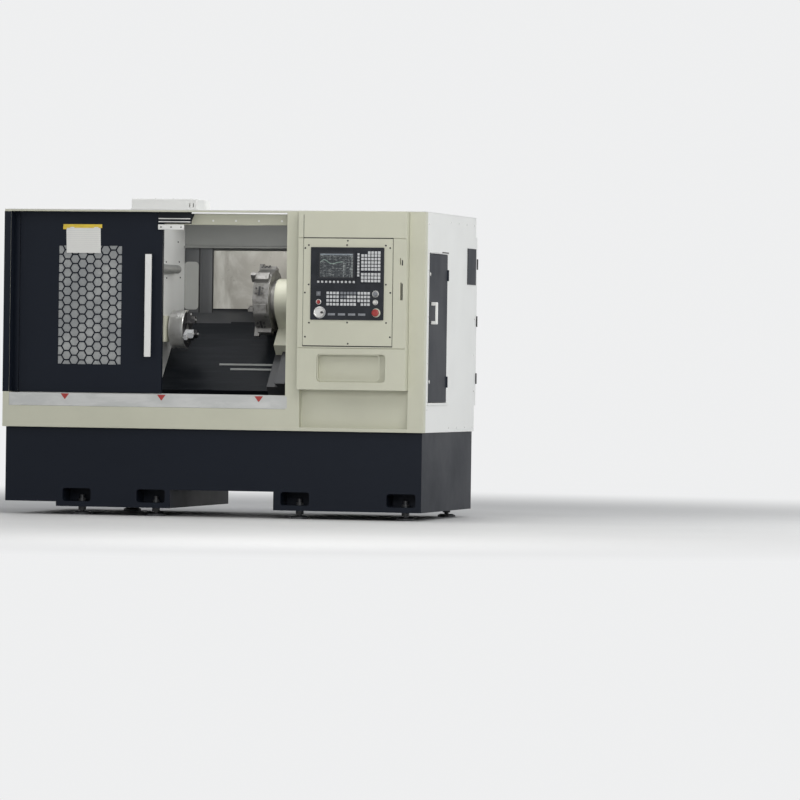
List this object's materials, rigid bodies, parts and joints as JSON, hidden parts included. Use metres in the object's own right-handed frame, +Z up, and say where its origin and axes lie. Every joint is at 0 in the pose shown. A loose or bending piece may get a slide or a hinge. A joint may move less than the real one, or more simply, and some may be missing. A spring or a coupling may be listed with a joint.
{
  "type": "cnc turning lathe",
  "caption": "Slant-bed turning lathe with sliding door, chuck, indexing turret, tailstock and operator panel in a sheet-metal enclosure.",
  "frame": {"origin": "middle of the bounding box on the floor", "axes": "+X to the operator's right along the spindle, +Y to the back, +Z up"},
  "size_m": [2.4, 1.5696, 1.7226],
  "materials": {
    "base": "semi-gloss paint",
    "bed": "painted casting",
    "z_rail_1": "machined",
    "z_rail_2": "machined",
    "headstock": "painted casting",
    "nose_cover": "satin paint",
    "spindle_motor": "painted casting",
    "drive_belt": "matt",
    "chip_pan": "satin paint",
    "front_frame": "satin paint",
    "sill": "protective film",
    "top_rail": "satin paint",
    "front_left_panel": "satin paint",
    "inner_left_wall": "satin paint",
    "inner_rear_wall": "satin paint",
    "inner_right_wall": "satin paint",
    "left_side_panel": "satin paint",
    "right_side_panel": "satin paint",
    "rear_panel": "satin paint",
    "roof": "satin paint",
    "top_hood": "satin paint",
    "cabinet": "satin paint",
    "cabinet_door": "satin paint",
    "control_housing": "satin paint",
    "control_plate": "satin paint",
    "operator_panel": "fine texture",
    "screen": "satin paint",
    "keypad": "fine texture",
    "way_cover_fixed": "satin paint",
    "way_cover_moving": "satin paint",
    "saddle_cover": "brushed",
    "door": "semi-gloss paint",
    "door_pane": "smoked",
    "door_handle": "protective film",
    "spindle": "machined",
    "chuck": "machined",
    "jaw_1": "satin paint",
    "jaw_2": "satin paint",
    "jaw_3": "satin paint",
    "motor_pulley": "machined",
    "saddle": "painted casting",
    "cross_slide": "satin paint",
    "turret_disc": "machined",
    "tailstock": "satin paint",
    "quill": "machined",
    "live_centre": "machined",
    "z_screw": "machined",
    "handwheel": "machined",
    "emergency_stop": "gloss",
    "power_button": "gloss",
    "key_switch": "machined",
    "override_knob": "satin paint",
    "service_door": "semi-gloss paint",
    "service_handle": "satin paint",
    "levelling_foot_1": "painted casting",
    "levelling_foot_2": "painted casting",
    "levelling_foot_3": "painted casting",
    "levelling_foot_5": "painted casting",
    "levelling_foot_7": "painted casting",
    "levelling_foot_8": "painted casting"
  },
  "bodies": {
    "machine": {"base": "base", "bed": "bed", "z_rail_1": "z_rail_1", "z_rail_2": "z_rail_2", "headstock": "headstock", "nose_cover": "nose_cover", "spindle_motor": "spindle_motor", "drive_belt": "drive_belt", "chip_pan": "chip_pan", "front_frame": "front_frame", "sill": "sill", "top_rail": "top_rail", "front_left_panel": "front_left_panel", "inner_left_wall": "inner_left_wall", "inner_rear_wall": "inner_rear_wall", "inner_right_wall": "inner_right_wall", "left_side_panel": "left_side_panel", "right_side_panel": "right_side_panel", "rear_panel": "rear_panel", "roof": "roof", "top_hood": "top_hood", "cabinet": "cabinet", "control_housing": "control_housing", "control_plate": "control_plate", "operator_panel": "operator_panel", "screen": "screen", "keypad": "keypad", "way_cover_fixed": "way_cover_fixed", "levelling_foot_1": "levelling_foot_1", "levelling_foot_2": "levelling_foot_2", "levelling_foot_3": "levelling_foot_3", "levelling_foot_5": "levelling_foot_5", "levelling_foot_7": "levelling_foot_7", "levelling_foot_8": "levelling_foot_8"},
    "door": {"door": "door", "door_pane": "door_pane", "door_handle": "door_handle"},
    "spindle": {"spindle": "spindle", "chuck": "chuck"},
    "jaw_1": {"jaw_1": "jaw_1"},
    "jaw_2": {"jaw_2": "jaw_2"},
    "jaw_3": {"jaw_3": "jaw_3"},
    "motor_pulley": {"motor_pulley": "motor_pulley"},
    "saddle": {"saddle": "saddle", "saddle_cover": "saddle_cover", "way_cover_moving": "way_cover_moving"},
    "cross_slide": {"cross_slide": "cross_slide"},
    "turret": {"turret_disc": "turret_disc"},
    "tailstock": {"tailstock": "tailstock"},
    "quill": {"quill": "quill"},
    "live_centre": {"live_centre": "live_centre"},
    "z_screw": {"z_screw": "z_screw"},
    "handwheel": {"handwheel": "handwheel"},
    "emergency_stop": {"emergency_stop": "emergency_stop"},
    "power_button": {"power_button": "power_button"},
    "key_switch": {"key_switch": "key_switch"},
    "override_knob": {"override_knob": "override_knob"},
    "service_door": {"service_door": "service_door", "service_handle": "service_handle"},
    "cabinet_door": {"cabinet_door": "cabinet_door"}
  },
  "joints": [
    {"name": "door_slide", "type": "slide", "parent": "machine", "child": "door", "axis": [1, 0, 0], "range_m": [0, 0.715]},
    {"name": "spindle_spin", "type": "hinge", "parent": "machine", "child": "spindle", "pos_m": [0, -0.2652, 1.02], "axis": [1, 0, 0], "continuous": true},
    {"name": "jaw_1_slide", "type": "slide", "parent": "spindle", "child": "jaw_1", "axis": [0, 0, 1], "range_m": [-0.0037, 0.0037]},
    {"name": "jaw_2_slide", "type": "slide", "parent": "spindle", "child": "jaw_2", "axis": [0, -0.866, -0.5], "range_m": [-0.0037, 0.0037]},
    {"name": "jaw_3_slide", "type": "slide", "parent": "spindle", "child": "jaw_3", "axis": [0, 0.866, -0.5], "range_m": [-0.0037, 0.0037]},
    {"name": "motor_spin", "type": "hinge", "parent": "machine", "child": "motor_pulley", "pos_m": [0, -0.4402, 0.6725], "axis": [1, 0, 0], "continuous": true},
    {"name": "z_slide", "type": "slide", "parent": "machine", "child": "saddle", "axis": [1, 0, 0], "range_m": [-0.25, 0.12]},
    {"name": "x_slide", "type": "slide", "parent": "saddle", "child": "cross_slide", "axis": [0, 0.7071, 0.7071], "range_m": [-0.06, 0.12]},
    {"name": "turret_index", "type": "hinge", "parent": "cross_slide", "child": "turret", "pos_m": [0, -0.10044, 1.18476], "axis": [1, 0, 0], "continuous": true},
    {"name": "z_screw_spin", "type": "hinge", "parent": "machine", "child": "z_screw", "pos_m": [0, -0.07817, 0.86125], "axis": [1, 0, 0], "range_deg": [-9001, 4321]},
    {"name": "tailstock_slide", "type": "slide", "parent": "machine", "child": "tailstock", "axis": [1, 0, 0], "range_m": [-0.1, 0]},
    {"name": "quill_slide", "type": "slide", "parent": "tailstock", "child": "quill", "axis": [1, 0, 0], "range_m": [-0.06, 0]},
    {"name": "centre_spin", "type": "hinge", "parent": "quill", "child": "live_centre", "pos_m": [0, -0.2652, 1.02], "axis": [1, 0, 0], "continuous": true},
    {"name": "handwheel_spin", "type": "hinge", "parent": "machine", "child": "handwheel", "pos_m": [0.603, -0.7408, 1.116], "axis": [0, -1, 0], "continuous": true},
    {"name": "emergency_stop_push", "type": "slide", "parent": "machine", "child": "emergency_stop", "axis": [0, 1, 0], "range_m": [0, 0.005], "stiffness_N_per_m": 1500},
    {"name": "power_button_push", "type": "slide", "parent": "machine", "child": "power_button", "axis": [0, 1, 0], "range_m": [0, 0.003], "stiffness_N_per_m": 800},
    {"name": "key_turn", "type": "hinge", "parent": "machine", "child": "key_switch", "pos_m": [0.91, -0.7408, 1.172], "axis": [0, -1, 0], "range_deg": [0, 90]},
    {"name": "override_turn", "type": "hinge", "parent": "machine", "child": "override_knob", "pos_m": [0.91, -0.7408, 1.217], "axis": [0, -1, 0], "range_deg": [-150, 150]},
    {"name": "service_door_hinge", "type": "hinge", "parent": "machine", "child": "service_door", "pos_m": [1.165, -0.1437, 1.04], "axis": [0, 0, 1], "range_deg": [0, 110]},
    {"name": "cabinet_door_hinge", "type": "hinge", "parent": "machine", "child": "cabinet_door", "pos_m": [1.115, 0.7738, 1.09], "axis": [0, 0, -1], "range_deg": [0, 110]}
  ],
  "couplings": [
    {"joint": "jaw_2_slide", "follows": "jaw_1_slide", "ratio": 1},
    {"joint": "jaw_3_slide", "follows": "jaw_1_slide", "ratio": 1},
    {"joint": "motor_spin", "follows": "spindle_spin", "ratio": 1.5},
    {"joint": "z_screw_spin", "follows": "z_slide", "rad_per_m": 628.32}
  ]
}
